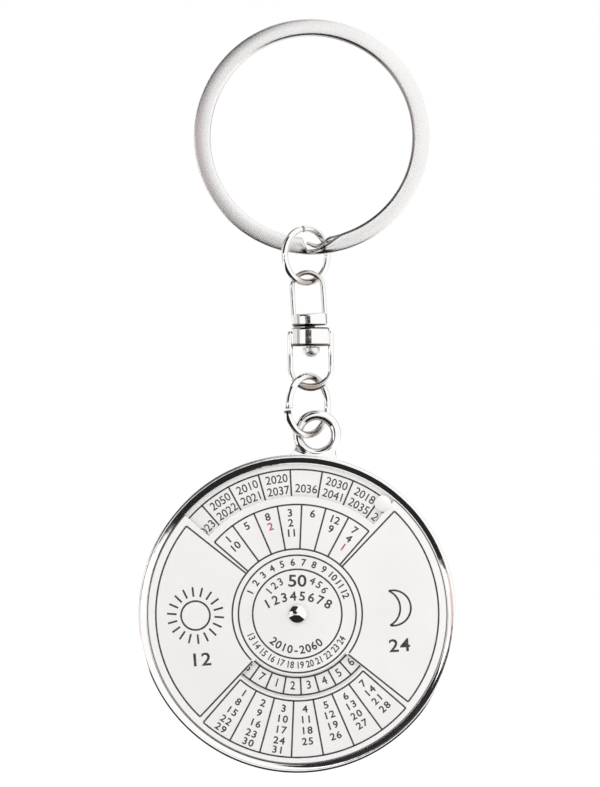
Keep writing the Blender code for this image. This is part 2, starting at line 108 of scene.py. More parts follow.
# %% A socket that does sums
def sums(operation, other_first=False):
    """A method that adds one Math node."""

    def method(wire, *others):
        values = (*others, wire) if other_first else (wire, *others)
        return wire.tree.node("ShaderNodeMath", dict(enumerate(values)), operation=operation)

    return method


class Wire:
    __add__ = sums("ADD")
    __radd__ = sums("ADD", other_first=True)
    __sub__ = sums("SUBTRACT")
    __rsub__ = sums("SUBTRACT", other_first=True)
    __mul__ = sums("MULTIPLY")
    __rmul__ = sums("MULTIPLY", other_first=True)
    __truediv__ = sums("DIVIDE")
    __abs__ = sums("ABSOLUTE")
    sine = sums("SINE")
    cosine = sums("COSINE")
    angle_with = sums("ARCTAN2")
    root = sums("SQRT")
    larger = sums("MAXIMUM")
    smaller = sums("MINIMUM")

    def __init__(self, tree, socket):
        self.tree = tree
        self.socket = socket

    def ramp(self, low, high):
        """0 below low, 1 above high, and a smooth step between them."""
        sockets = {0: self, 1: low, 2: high, 3: 0.0, 4: 1.0}
        return self.tree.node("ShaderNodeMapRange", sockets, interpolation_type="SMOOTHSTEP")


# %% A tree that takes nodes
class Tree:
    def __init__(self, node_tree):
        self.made = node_tree

    def node(self, kind, sockets=None, output=0, **settings):
        added = self.made.nodes.new(kind)
        for name, value in settings.items():
            setattr(added, name, value)
        for key, value in (sockets or {}).items():
            self.feed(added.inputs[key], value)
        return Wire(self, added.outputs[output]) if len(added.outputs) else added

    def feed(self, socket, value):
        if isinstance(value, Wire):
            self.made.links.new(value.socket, socket)
        else:
            socket.default_value = value

    def parts(self, place):
        """The x, y and z of a place."""
        return [self.node("ShaderNodeSeparateXYZ", {0: place}, k) for k in range(3)]

    def vector(self, x=0.0, y=0.0, z=0.0):
        return self.node("ShaderNodeCombineXYZ", {0: x, 1: y, 2: z})


# %% [markdown]
# ## Finishes
# Nickel plate is a metal with a faintly warm white. What tells polished from satin is the
# roughness, and what makes both real is that neither is even: polishing leaves soft waves and
# fine hairlines, and rolled flat wire has a grain that runs along it. Those go into Roughness
# and a shallow Bump. Base Color varies a little at random, and painted shade and reflection go
# into it too: brown where the links touch, and nearly black in the seams, at the split ring's
# step and free end, along its inner edge and round the dial's edge. The lower ring is also
# darkened nearly black near its cut. Each is placed by its distance to a spot, a height or an
# axis, in Object coordinates, which are metres here.


# %% A base for every finish
class Finish(Tree):
    def __init__(self, name):
        self.material = bpy.data.materials.new(name)
        self.material.use_nodes = True
        super().__init__(self.material.node_tree)
        self.shader = self.made.nodes["Principled BSDF"]
        self.place = self.node("ShaderNodeTexCoord", output="Object")

    def set(self, **sockets):
        for name, value in sockets.items():
            self.feed(self.shader.inputs[name.replace("_", " ")], value)

    def noise(self, scale, detail=2.0, stretch=(1.0, 1.0, 1.0), where=None):
        spread = self.node("ShaderNodeMapping", {"Vector": where or self.place, "Scale": stretch})
        return self.node("ShaderNodeTexNoise", {"Vector": spread, "Scale": scale, "Detail": detail})

    def blend(self, share, first, second):
        if not isinstance(first, Wire):
            first = (*first, 1.0)
        sockets = {"Factor": share, 6: first, 7: (*second, 1.0)}
        return self.node("ShaderNodeMix", sockets, 2, data_type="RGBA")

    def distance_to(self, spot):
        return self.node("ShaderNodeVectorMath", {0: self.place, 1: spot}, "Value", operation="DISTANCE")

    def round_and_out(self, middle):
        """The angle round a middle as seen from the front, and the distance out from it."""
        x, _, z = self.parts(self.place)
        x = x - middle.x
        z = z - middle.z
        return x.angle_with(z), (x * x + z * z).root()

    def bump(self, height, strength, distance):
        sockets = {"Height": height, "Strength": strength, "Distance": distance}
        return self.node("ShaderNodeBump", sockets, "Normal")


# %% Bright nickel for the cast and bent pieces
# nearly black, for the painted shade at the swivel's seams and for the darkening near a cut
near_black = (0.10, 0.08, 0.07)


def bright_nickel(name="bright_nickel", waves=0.25, dullness=0.04, seams=(), cut=None):
    """Plate with painted shade and reflection in brown where the links touch, nearly black near a cut, and
    painted shade at seams (heights on the swivel).
    """
    finish = Finish(name)
    soft = finish.noise(420.0)
    hairlines = finish.noise(900.0, 4.0, (1.0, 1.0, 9.0))
    # painted shade and reflection: brown where the links touch, round the joints
    swings = ("eye_swing", "lower_ring_swing", "medallion_swing")
    joint_distances = [finish.distance_to(joint_at[swing]) for swing in swings]
    ink_wear_and_contact_shade = 1.0 - joint_distances[0].smaller(joint_distances[1]).smaller(joint_distances[2]).ramp(0.6 * mm, 2.6 * mm)
    colour = finish.blend(ink_wear_and_contact_shade * (0.7 + 0.6 * soft), (0.975, 0.97, 0.96), (0.52, 0.45, 0.40))
    # nearly black near the cut of a ring
    if cut:
        near = 1.0 - finish.distance_to(cut).ramp(0.5 * mm, 0.75 * mm)
        colour = finish.blend(near, colour, near_black)
    # painted shade: nearly black bands at the seam heights, across the swivel's width
    if seams:
        x, _, z = finish.parts(finish.place)
        aside = abs(x - stirrup_place.translation.x).ramp(2.2 * mm, 2.5 * mm)
        for height in seams:
            off = abs(z - (stirrup_place.translation.z + height))
            near = 1.0 - off.ramp(0.22 * mm, 0.42 * mm)
            colour = finish.blend(near * (1.0 - aside), colour, near_black)
    finish.set(
        Base_Color=colour,
        Metallic=1.0,
        Roughness=dullness + 0.10 * hairlines * soft + 0.10 * ink_wear_and_contact_shade,
        Normal=finish.bump(soft, waves, 0.06 * mm),
    )
    return finish.material


# %% Satin nickel for the flat wire of the split ring
crossover = (0.5 * mm, 0.0, -26.7 * mm)
step_corner = (1.5 * mm, -0.8 * mm, -27.05 * mm)
free_end = (-0.6 * mm, -0.9 * mm, -27.4 * mm)


def satin_nickel():
    finish = Finish("satin_nickel")
    around, out = finish.round_and_out(split_place.translation)
    depth = finish.parts(finish.place)[1]
    grain = finish.noise(150.0, 3.0, where=finish.vector(out * 60.0, around * 0.35, depth * 60.0))
    speckle = finish.noise(1500.0)
    wear = finish.noise(260.0)
    # painted shade and reflection: brown round the crossover, where the wire is also smoother
    crossing_shade = 1.0 - finish.distance_to(crossover).ramp(1.0 * mm, 3.2 * mm)
    # painted shade: nearly black at the step's corner and at the free end, in the gaps the wire ends leave
    nearest = finish.distance_to(step_corner).smaller(finish.distance_to(free_end))
    gap_shade = 1.0 - nearest.ramp(0.2 * mm, 0.6 * mm)
    # painted shade: a dark line along the inner edge on the right side
    inner_edge_shade = (1.0 - out.ramp(13.05 * mm, 13.25 * mm)) * around.sine().ramp(-0.1, 0.4)
    plate = finish.blend(0.10 * wear + 0.40 * crossing_shade, (0.99, 0.98, 0.975), (0.36, 0.27, 0.20))
    finish.set(
        Base_Color=finish.blend((0.85 * gap_shade).larger(0.75 * inner_edge_shade), plate, (0.06, 0.05, 0.045)),
        Metallic=1.0,
        Roughness=0.08 + (1.0 - crossing_shade) * (0.12 + 0.08 * grain + 0.05 * speckle),
        Normal=finish.bump(grain * 0.7 + speckle * 0.3, 0.15, 0.02 * mm),
    )
    return finish.material


# %% Satin plate under the print
def satin_plate(name, edge_shade):
    """Cloudy plate; the second argument says how dark the painted shade line round the dial's edge is."""
    finish = Finish(name)
    grain = finish.noise(700.0, 3.0, (1.0, 1.0, 8.0))
    cloud = finish.noise(130.0)
    _, out = finish.round_and_out(dial_place.translation)
    margin = out.ramp(18.1 * mm, 18.4 * mm)
    colour = finish.blend((cloud - margin).larger(0.0), (0.985, 0.97, 0.965), (0.905, 0.89, 0.88))
    # painted shade: a dark line round the dial's edge, over the gap to the rim
    finish.set(
        Base_Color=finish.blend(edge_shade * out.ramp(18.95 * mm, 19.04 * mm), colour, (0.10, 0.09, 0.085)),
        Metallic=0.3,
        Roughness=0.38 + 0.10 * grain,
        Normal=finish.bump(grain, 0.10, 0.01 * mm),
    )
    return finish.material


# %% Printing ink
def ink(name, dark, ink_wear_and_contact_shade):
    finish = Finish(name)
    patches = finish.noise(1500.0, 3.0)
    finish.set(
        Base_Color=finish.blend(patches.ramp(0.35, 0.75), dark, ink_wear_and_contact_shade),
        Metallic=0.0,
        Roughness=0.45 + 0.2 * patches,
    )
    return finish.material


# %% Spring steel for the hidden washer
def spring_steel():
    finish = Finish("spring_steel")
    grain = finish.noise(800.0, 3.0)
    finish.set(
        Base_Color=finish.blend(grain, (0.62, 0.61, 0.60), (0.50, 0.49, 0.48)),
        Metallic=1.0,
        Roughness=0.25 + 0.15 * grain,
        Normal=finish.bump(grain, 0.1, 0.01 * mm),
    )
    return finish.material


# %% Mix the finishes
nickel = bright_nickel()
lower_ring_cut = -97.6
cut_spot = lower_ring_place @ turn_y(lower_ring_cut) @ Vector((0, 0, lower_ring_mean))
cut_nickel = bright_nickel("cut_nickel", cut=cut_spot)
# painted shade bands in the gap between the eye's base and the barrel, and at the barrel's lower rim; the
# rivet takes only the gap's band
barrel_seams = (0.12 * mm, -barrel_height)
cast_nickel = bright_nickel("cast_nickel", 0.35, seams=barrel_seams)
rivet_finish = bright_nickel("rivet_nickel", 0.25, 0.32, barrel_seams[:1])
satin = satin_nickel()
plate_finish = satin_plate("satin_plate", 0.0)
dial_finish = satin_plate("satin_dial", 0.9)
black_ink = ink("black_ink", (0.030, 0.028, 0.030), (0.075, 0.070, 0.070))
red_ink = ink("red_ink", (0.45, 0.035, 0.06), (0.55, 0.09, 0.11))
washer_finish = spring_steel()
print("finishes:", len(bpy.data.materials))

# %% [markdown]
# ## From a mesh to a piece
# A finished piece has its place in its mesh and its object at the origin. It rides on a CAD
# body, and the CAD node that it stands for, if one is given, is hidden. Normals are worked out
# once for every closed shape, and edges steeper than a set angle stay crisp.


# %% Meshes and objects
merge_distance = 0.0002 * mm


def mesh_from(shape, name):
    mesh = bpy.data.meshes.new(name)
    shape.to_mesh(mesh)
    shape.free()
    return mesh


def cleaned(shape):
    """Merges points that coincide and turns the faces outwards."""
    bmesh.ops.remove_doubles(shape, verts=shape.verts, dist=merge_distance)
    bmesh.ops.recalc_face_normals(shape, faces=shape.faces)


def new_object(name, data):
    made = bpy.data.objects.new(name, data)
    scene.collection.objects.link(made)
    return made


def settled(*holders):
    """The first holder's plain mesh after its modifiers; the holders are then taken away."""
    ready = holders[0].evaluated_get(bpy.context.evaluated_depsgraph_get())
    mesh = bpy.data.meshes.new_from_object(ready)
    for holder in holders:
        bpy.data.objects.remove(holder)
    return mesh


# %% Finish a piece
crisp_angle = radians(35.0)


def piece(name, mesh, place, material, body, node=None):
    shape = bmesh.new()
    shape.from_mesh(mesh)
    cleaned(shape)
    bmesh.ops.transform(shape, matrix=place, verts=shape.verts)
    mesh = mesh_from(shape, name)
    mesh.materials.append(material)
    mesh.shade_smooth()
    mesh.set_sharp_from_angle(angle=crisp_angle)
    made = new_object(name, mesh)
    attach(made, body)
    if node:
        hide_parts(node)
    print(name, "has", len(mesh.polygons), "faces")
    return made


# %% [markdown]
# ## Geometry Nodes as recipes
# A recipe is a small Geometry Nodes tree with named inputs. It is run once for each use, and
# its result becomes a plain mesh. The coil, the cut rings, printed arcs and rows of marks are
# all recipes, because each is one rule used with different numbers.


# %% A recipe and how to run it
class Recipe(Tree):
    def __init__(self, name, *sizes, **others):
        """Sizes name its float inputs; others give the kind of each other input."""
        group = bpy.data.node_groups.new(name, "GeometryNodeTree")
        super().__init__(group)
        kinds = {**dict.fromkeys(sizes, "Float"), **others, "material": "Material"}
        group.interface.new_socket("Geometry", in_out="OUTPUT", socket_type="NodeSocketGeometry")
        for key, kind in kinds.items():
            group.interface.new_socket(key, in_out="INPUT", socket_type="NodeSocket" + kind)
        entry = group.nodes.new("NodeGroupInput")
        for key in kinds:
            setattr(self, key, Wire(self, entry.outputs[key]))

    def done(self, geometry):
        plain = self.node("GeometryNodeRealizeInstances", {0: geometry})
        sockets = {"Geometry": plain, "Material": self.material}
        finished = self.node("GeometryNodeSetMaterial", sockets)
        self.node("NodeGroupOutput", {0: finished})

    def run(self, **values):
        holder = new_object("holder", bpy.data.meshes.new("holder"))
        step = holder.modifiers.new("recipe", "NODES")
        step.node_group = self.made
        for item in self.made.interface.items_tree:
            if item.in_out == "INPUT" and item.name in values:
                step[item.identifier] = values[item.name]
        return settled(holder)


# %% [markdown]
# ## The split ring
# Two turns of flat wire lie on each other. At one place the wire steps from the back turn to
# the front one. There it is ground narrow, and both free ends are ground slim, so that they
# pass beside it. The rule is a path: the angle runs through two full turns, and the height
# changes only in the step. A Geometry Nodes recipe works out that path, and the wire's section
# is then carried along it, always square to the ring's middle. The faces of rolled flat wire
# slope down a little towards the outside, so their shine changes as the wire goes round.


# %% Outlines and skins
def arc_points(centre, radius, start_deg, end_deg, steps):
    points = []
    for k in range(steps + 1):
        angle = radians(start_deg + (end_deg - start_deg) * k / steps)
        points.append((centre[0] + radius * cos(angle), centre[1] + radius * sin(angle)))
    return points


def skinned(stations, closed=False):
    """Equal loops of points, skinned in their order, then capped or closed to a ring."""
    shape = bmesh.new()
    loops = [[shape.verts.new(point) for point in station] for station in stations]
    for first, second in zip(loops, loops[1:] + (loops[:1] if closed else [])):
        for k in range(len(first)):
            after = (k + 1) % len(first)
            shape.faces.new((first[k], first[after], second[after], second[k]))
    if not closed:
        shape.faces.new(loops[0])
        shape.faces.new(loops[-1])
    cleaned(shape)
    return mesh_from(shape, "skinned")


# %% The wire's section
split_wire_width = 2.1 * mm
split_wire_thickness = 0.9 * mm
split_face_drop = 0.08 * mm
split_inner_corner = 0.36 * mm
split_outer_corner = 0.20 * mm

top = split_wire_thickness / 2
level_end = -0.12 * split_wire_width
corner_out = split_wire_width / 2 - split_outer_corner
slope = math.atan(2.0 * split_face_drop / (corner_out - level_end))
slope_end = corner_out + split_outer_corner * sin(slope)
inner_middle = (split_inner_corner - split_wire_width / 2, top - split_inner_corner)
outer_middle = (corner_out, top - split_face_drop - split_outer_corner * cos(slope))
upper = arc_points(inner_middle, split_inner_corner, 180, 90, 6)
for k in range(9):
    share = k / 8
    upper.append((level_end + (slope_end - level_end) * share, top - split_face_drop * share**2))
upper += arc_points(outer_middle, split_outer_corner, 90.0 - math.degrees(slope), 0, 6)[1:]
section = upper + [(out, -height) for out, height in reversed(upper)]
print("points in the wire's section:", len(section))

# %% The path of the coil
coil_points = 1080
coil = Recipe("coil", "radius", "start", "sweep", "ramp_start", "ramp_end", "half_step")
coil_line = coil.node("GeometryNodeMeshLine", {"Count": coil_points})
coil_share = coil.node("GeometryNodeInputIndex") / (coil_points - 1.0)
coil_angle = coil.start + coil.sweep * coil_share
coil_step = 2.0 * coil_share.ramp(coil.ramp_start, coil.ramp_end) - 1.0
coil_x = coil.radius * coil_angle.sine()
coil_z = coil.radius * coil_angle.cosine()
coil_place = coil.vector(coil_x, coil.half_step * coil_step, coil_z)
coil.done(coil.node("GeometryNodeSetPosition", {"Geometry": coil_line, "Position": coil_place}))

# %% Run the coil's recipe
split_mean = 13.95 * mm
split_layer_step = 1.0 * mm
turn_start = 182.3
whole_turn = 720.3
step_start = 350.2
step_length = 11.0
coil_path = coil.run(
    radius=split_mean,
    start=radians(turn_start),
    sweep=radians(whole_turn),
    ramp_start=step_start / whole_turn,
    ramp_end=(step_start + step_length) / whole_turn,
    half_step=split_layer_step / 2,
)
print("points on the coil's path:", len(coil_path.vertices))

# %% How wide the wire is at each place
narrowing = 1.43 * mm
narrowing_start = step_start - 11.5
narrowing_end = step_start + 7.5
free_gap = 0.06 * mm
tip_start = 706.7
tip_rise = 0.75 * mm
tip_drop = 0.30 * mm
tip_cut = 0.50 * mm


def eased(value, low, high):
    share = min(1.0, max(0.0, (value - low) / (high - low)))
    return share * share * (3.0 - 2.0 * share)


def narrowed(along):
    """How much of the wire's inner side is ground away before the step."""
    return narrowing * eased(along, narrowing_start, narrowing_end)


def wire_edges(along):
    """The wire's inner and outer edge, from the full inner edge, at an angle along the coil."""
    # the first free end
    if along < 5.0:
        return narrowing * (1.0 - eased(along, -0.5, 3.5)), split_wire_width
    # the first turn and the step at its end
    if along < 380.0:
        after_step = eased(along, step_start + 11.5, step_start + 23.5)
        return narrowed(along) * (1.0 - after_step), split_wire_width
    # the second turn, whose end passes beside the step
    beside = split_wire_width - narrowed(along - 360.0) + free_gap
    tip = eased(along, tip_start + 8.0, whole_turn)
    inner = tip_rise * eased(along, tip_start, tip_start + 8.0) - tip_drop * tip
    cut_back = beside * eased(along, tip_start - 5.0, tip_start + 3.0)
    return inner, split_wire_width - cut_back - tip_cut * tip


def fitted(point, inner, outer):
    """A point of the section moved so that the wire lies between two edges."""
    out = point[0] + split_wire_width / 2
    corners = split_inner_corner + split_outer_corner
    share = min(1.0, (outer - inner) / (corners + 0.1 * mm))
    if out < split_inner_corner:
        out = inner + out * share
    elif out > split_wire_width - split_outer_corner:
        out = outer - (split_wire_width - out) * share
    else:
        middle = (out - split_inner_corner) / (split_wire_width - corners)
        out = inner + split_inner_corner * share + (outer - inner - corners * share) * middle
    return out - split_wire_width / 2, point[1]


# %% Carry the section along the path
stations = []
for k, vertex in enumerate(coil_path.vertices):
    outward = Vector((vertex.co.x, 0, vertex.co.z)).normalized()
    inner, outer = wire_edges(whole_turn * k / (coil_points - 1))
    fit = [fitted(point, inner, outer) for point in section]
    stations.append([vertex.co + outward * a + Vector((0, b, 0)) for a, b in fit])
ring_mesh = skinned(stations)
piece("flat_split_ring", ring_mesh, split_place, satin, "split_ring", "split_ring")

# %% [markdown]
# ## The jump rings
# A jump ring is round wire bent to a circle and cut, and its two ends seldom meet exactly.
# The recipe bends an arc that is a little short of a circle, pushes its ends apart sideways,
# and sweeps a circle along it. The same recipe makes both rings.


# %% The recipe of a cut ring
def arc_path(recipe, points):
    """An arc by the recipe's own radius, start and sweep."""
    sockets = {"Resolution": points, "Radius": recipe.radius}
    sockets.update({"Start Angle": recipe.start, "Sweep Angle": recipe.sweep})
    return recipe.node("GeometryNodeCurveArc", sockets, mode="RADIUS")


def done_by_sweep(recipe, path, profile):
    """Ends a recipe with a profile swept along a path."""
    sockets = {"Curve": path, "Profile Curve": profile, "Fill Caps": True}
    recipe.done(recipe.node("GeometryNodeCurveToMesh", sockets))


cut_ring = Recipe("cut_ring", "radius", "wire", "start", "sweep", "end_shift")
ring_share = cut_ring.node("GeometryNodeSplineParameter")
ring_aside = cut_ring.end_shift * (ring_share - 0.5) * abs(2.0 * ring_share - 1.0)
ring_sockets = {"Geometry": arc_path(cut_ring, 160), "Offset": cut_ring.vector(z=ring_aside)}
ring_path = cut_ring.node("GeometryNodeSetPosition", ring_sockets)
wire_sockets = {"Resolution": 28, "Radius": cut_ring.wire / 2}
ring_wire = cut_ring.node("GeometryNodeCurvePrimitiveCircle", wire_sockets, mode="RADIUS")
done_by_sweep(cut_ring, ring_path, ring_wire)
upright = Matrix.Rotation(radians(90.0), 4, "X")


# %% Bend the two rings
def bend_ring(which, place, mean, material, wire, cut_deg, cut_width, end_shift):
    half_cut = math.degrees(cut_width / 2 / mean)
    mesh = cut_ring.run(
        material=material,
        radius=mean,
        wire=wire,
        start=radians(90.0 - cut_deg + half_cut),
        sweep=radians(360.0 - 2 * half_cut),
        end_shift=end_shift,
    )
    body = which + "_jump_ring"
    piece(f"round_{which}_ring", mesh, place @ upright, material, body, body)


upper_cut = {"wire": 0.85 * mm, "cut_deg": -11.0, "cut_width": 0.25 * mm, "end_shift": 0.20 * mm}
lower_cut = {"wire": 0.9 * mm, "cut_deg": lower_ring_cut, "cut_width": 0.30 * mm, "end_shift": 0.35 * mm}
bend_ring("upper", upper_ring_place, upper_ring_mean, nickel, **upper_cut)
bend_ring("lower", lower_ring_place, lower_ring_mean, cut_nickel, **lower_cut)

# %% [markdown]
# ## Turned and bent pieces of the swivel
# The swivel has an eye on a round base, a rivet, and a stirrup on a barrel. Bases, barrels and
# rivets are turned: an outline is carried round an axis. Loops are bent: a rounded section is
# carried along a path that is worked out point by point, so it can thicken on the way. A
# Boolean joins loop and base into one closed skin, and cuts the bore. A drum has extra points
# close to its rims, so that its side stays straight in the shading too.

# %% Turned outlines
rim_edge = 0.3 * mm
rim_support = 0.04 * mm


def turned(outline, axis, steps=96):
    """A closed (radius, height) outline carried round local Y or Z."""
    loops = []
    for step in range(steps):
        c = cos(math.tau * step / steps)
        s = sin(math.tau * step / steps)
        if axis == "Y":
            loops.append([(r * s, h, r * c) for r, h in outline])
        else:
            loops.append([(r * c, r * s, h) for r, h in outline])
    return skinned(loops, closed=True)


def plain_ring(inner, outer, top, bottom):
    """The outline of a flat ring, or of a pin if the inner radius is 0."""
    return [(inner, top), (outer, top), (outer, bottom), (inner, bottom)]


def drum(radius, top, bottom):
    """The outline of a short cylinder with rounded rims."""
    outline = [(0.0, top)]
    outline += arc_points((radius - rim_edge, top - rim_edge), rim_edge, 90, 0, 5)
    outline.append((radius, top - rim_edge - rim_support))
    outline.append((radius, bottom + rim_edge + rim_support))
    outline += arc_points((radius - rim_edge, bottom + rim_edge), rim_edge, 0, -90, 5)
    return outline + [(0.0, bottom)]


def dome(radius, rim, rise, steps):
    """Points from a dome's rim to its top."""
    angles = [pi / 2 * k / steps for k in range(steps)]
    return [(radius * cos(a), rim + rise * sin(a)) for a in angles] + [(0.0, rim + rise)]


# %% Meshes joined and cut
def combined(mesh, *steps):
    """The mesh after Boolean steps, each an operation and another mesh in the same place."""
    holders = [new_object("holder", mesh)]
    for operation, other in steps:
        holders.append(new_object("tool", other))
        step = holders[0].modifiers.new("step", "BOOLEAN")
        step.operation = operation
        step.solver = "EXACT"
        step.object = holders[-1]
    return settled(*holders)


# %% Sections of bent wire
def wire_station(x, z, outward, width, depth, rounding):
    """The wire's rounded section at (x, z), square to its path; outward is a unit (x, z)."""
    a = width / 2 - rounding
    b = depth / 2 - rounding
    outline = []
    for k, corner in enumerate(((a, b), (-a, b), (-a, -b), (a, -b))):
        outline += arc_points(corner, rounding, 90 * k, 90 * k + 90, 6)
    return [(x + p * outward[0], q, z + p * outward[1]) for p, q in outline]


# %% The eye
loop_steps = 48
clearance = 0.5 * mm
eye_width = 4.6 * mm
eye_wire = 0.65 * mm
eye_depth = 0.75 * mm
eye_base_radius = 2.25 * mm
eye_base_top = -3.3 * mm
eye_base_bottom = -4.88 * mm
eye_bore_radius = 0.73 * mm
countersink_radius = 1.13 * mm
countersink_depth = 0.4 * mm

eye_mean = (eye_width - eye_wire) / 2
eye_root = (eye_base_top + eye_base_bottom) / 2
eye_section = (eye_wire, eye_depth, eye_wire * 0.45)
eye_stations = [wire_station(-eye_mean, eye_root, (-1.0, 0.0), *eye_section)]
for step in range(loop_steps + 1):
    angle = pi * step / loop_steps
    outward = (-cos(angle), sin(angle))
    eye_stations.append(wire_station(eye_mean * outward[0], eye_mean * outward[1], outward, *eye_section))
eye_stations.append(wire_station(eye_mean, eye_root, (1.0, 0.0), *eye_section))
eye_bore = [
    (0.0, eye_base_top + clearance),
    (countersink_radius, eye_base_top + clearance),
    (countersink_radius, eye_base_top),
    (eye_bore_radius, eye_base_top - countersink_depth),
    (eye_bore_radius, eye_base_bottom - clearance),
    (0.0, eye_base_bottom - clearance),
]
eye_mesh = combined(
    turned(drum(eye_base_radius, eye_base_top, eye_base_bottom), "Z"),
    ("UNION", skinned(eye_stations)),
    ("DIFFERENCE", turned(eye_bore, "Z")),
)
piece("smooth_eye", eye_mesh, eye_place, cast_nickel, "swivel_eye", "swivel_eye")

# %% The rivet
rivet_seat = -7.6 * mm
rivet_shank = 0.65 * mm
rivet_head = 1.1 * mm
rivet_edge = 0.06 * mm
rivet_outline = [
    (0.0, eye_base_top - 0.08 * mm),
    (0.97 * mm, eye_base_top - 0.08 * mm),
    (rivet_shank, eye_base_top - 0.32 * mm),
    (rivet_shank, rivet_seat),
    (rivet_head - rivet_edge, rivet_seat),
    (rivet_head, rivet_seat - rivet_edge),
]
rivet_outline += dome(rivet_head, rivet_seat - 0.325 * mm, -0.975 * mm, 10)
rivet_mesh = turned(rivet_outline, "Z")
piece("domed_rivet", rivet_mesh, eye_place, rivet_finish, "swivel_eye", "swivel_rivet")

# %% The stirrup
stirrup_outer = 2.95 * mm
stirrup_wire = 0.7 * mm
stirrup_bar = 1.0 * mm
stirrup_depth = 1.0 * mm
stirrup_round = -5.2 * mm
stirrup_shoulder = -0.5 * mm
barrel_radius = 2.45 * mm
barrel_bore_radius = 0.78 * mm
leg = stirrup_outer - stirrup_wire / 2
leg_rounding = stirrup_wire * 0.45


def leg_end(side):
    """The three sections where a leg's rounded top meets the barrel."""
    rows = []
    for share, down in ((0.45, 0.0), (0.8, 0.08 * mm), (1.0, 0.32 * mm)):
        width = stirrup_wire * share
        depth = stirrup_depth * (0.7 + 0.3 * share)
        z = stirrup_shoulder - down
        rows.append(wire_station(side * leg, z, (side, 0.0), width, depth, width * 0.42))
    return rows


stirrup_stations = leg_end(-1.0)
for step in range(loop_steps + 1):
    angle = pi * step / loop_steps
    outward = (-cos(angle), -sin(angle))
    width = stirrup_wire + (stirrup_bar - stirrup_wire) * sin(angle) ** 2
    reach = stirrup_outer - width / 2
    x = reach * outward[0]
    z = stirrup_round + reach * outward[1]
    stirrup_stations.append(wire_station(x, z, outward, width, stirrup_depth, leg_rounding))
stirrup_stations += reversed(leg_end(1.0))
barrel_bore = plain_ring(0.0, barrel_bore_radius, clearance, -barrel_height - clearance)
stirrup_mesh = combined(
    turned(drum(barrel_radius, 0.0, -barrel_height), "Z"),
    ("UNION", skinned(stirrup_stations)),
    ("DIFFERENCE", turned(barrel_bore, "Z")),
)
piece("smooth_stirrup", stirrup_mesh, stirrup_place, cast_nickel, "swivel_stirrup", "swivel_stirrup")

# %% [markdown]
# ## The case of the medallion
# The case is one casting: a shallow dish with a rounded rim, and a bail that flows into the
# rim. The dish is turned. The bail is an outline that is skinned through several layers, each
# a little smaller towards the faces, which rounds its edges. The rounding fades out towards
# the bail's foot, so that no groove shows where it meets the rim.

# %% The dish
case_radius = 20.25 * mm
case_half = 1.5 * mm
recess_radius = 19.25 * mm
floor_front = -0.2 * mm
floor_back = 1.2 * mm
bore_radius = 0.81 * mm
pocket_radius = 1.5 * mm
pocket_floor = floor_back - 0.32 * mm
rim_outer = 0.22 * mm
rim_slope_radius = 1.3 * mm
rim_slope_start = 234
back_rim = case_radius - 1.3 * mm
back_edge = 0.1 * mm
dish_steps = 288
crest = case_radius - rim_outer
dish = [(bore_radius, floor_front), (recess_radius, floor_front)]
dish += arc_points((crest, rim_slope_radius - case_half), rim_slope_radius, rim_slope_start, 270, 12)
dish += arc_points((crest, rim_outer - case_half), rim_outer, 270, 360, 9)
dish += arc_points((crest, case_half - rim_outer), rim_outer, 0, 90, 7)
dish += arc_points((back_rim + back_edge, case_half - back_edge), back_edge, 90, 180, 3)
dish += [(back_rim, floor_back), (pocket_radius, floor_back)]
dish += [(pocket_radius, pocket_floor), (bore_radius, pocket_floor)]
dish_mesh = turned(dish, "Y", dish_steps)
print("points in the dish's outline:", len(dish))

# %% The bail's outline
bail_distance = 23.0 * mm
bail_hole = 1.8 * mm
bail_outer = 3.1 * mm
bail_half = 0.7 * mm
bail_fillet = 1.2 * mm


def bail_outline():
    """Foot, fillets and round top, as (x, z)."""
    to_rim = case_radius + bail_fillet
    to_bail = bail_outer + bail_fillet
    lean = math.acos((to_rim**2 + bail_distance**2 - to_bail**2) / (2 * to_rim * bail_distance))
    fx = to_rim * sin(lean)
    fz = to_rim * cos(lean)
    from_rim = math.degrees(math.atan2(-fz, -fx))
    to_top = math.degrees(math.atan2(bail_distance - fz, -fx)) - 360.0
    right = arc_points((fx, fz), bail_fillet, from_rim, to_top, 10)
    start = math.degrees(math.atan2(right[-1][1] - bail_distance, right[-1][0]))
    over = arc_points((0.0, bail_distance), bail_outer, start, 180.0 - start, 56)[1:-1]
    left = [(-x, z) for x, z in reversed(right)]
    foot = (case_radius - 0.5 * mm) * cos(lean)
    return right + over + left + [(left[-1][0], foot), (right[0][0], foot)]


# %% Layers that round the bail's edges
bail_edge = 0.6 * mm
layers = []
for degrees in range(90, -1, -15):
    a = radians(degrees)
    layers.append((bail_edge * (1 - sin(a)) - bail_half, bail_edge * (1 - cos(a))))
layers += [(-y, inset) for y, inset in reversed(layers)]
bail_middle = Vector((0.0, bail_distance))
bail_stations = []
for y, inset in layers:
    loop = []
    for x, z in bail_outline():
        point = Vector((x, z))
        rise = min(1.0, max(0.0, z - case_radius) / bail_fillet)
        point += (bail_middle - point).normalized() * inset * rise
        loop.append((point.x, y, point.y))
    bail_stations.append(loop)
lip = [(0.0, -bail_half - clearance), (bail_hole + 0.95 * mm, -bail_half - clearance)]
lip += arc_points((bail_hole + bail_edge, bail_edge - bail_half), bail_edge, 270, 180, 8)
lip += [(r, -h) for r, h in reversed(lip)]
hole_tool = turned(lip, "Y")
hole_tool.transform(at(0, 0, bail_distance))
case_mesh = combined(dish_mesh, ("UNION", skinned(bail_stations)), ("DIFFERENCE", hole_tool))
piece("medallion_body", case_mesh, medallion_place, cast_nickel, "medallion", "medallion_case")

# %% [markdown]
# ## Plates of the calendar
# Two thin plates lie in the dish. The year plate is fixed. The month dial turns over it, and
# reaches close to the rim, with an open notch for the years and a window for the weekdays.
# Both are turned, and the openings are cut with prisms whose sides follow the circles.

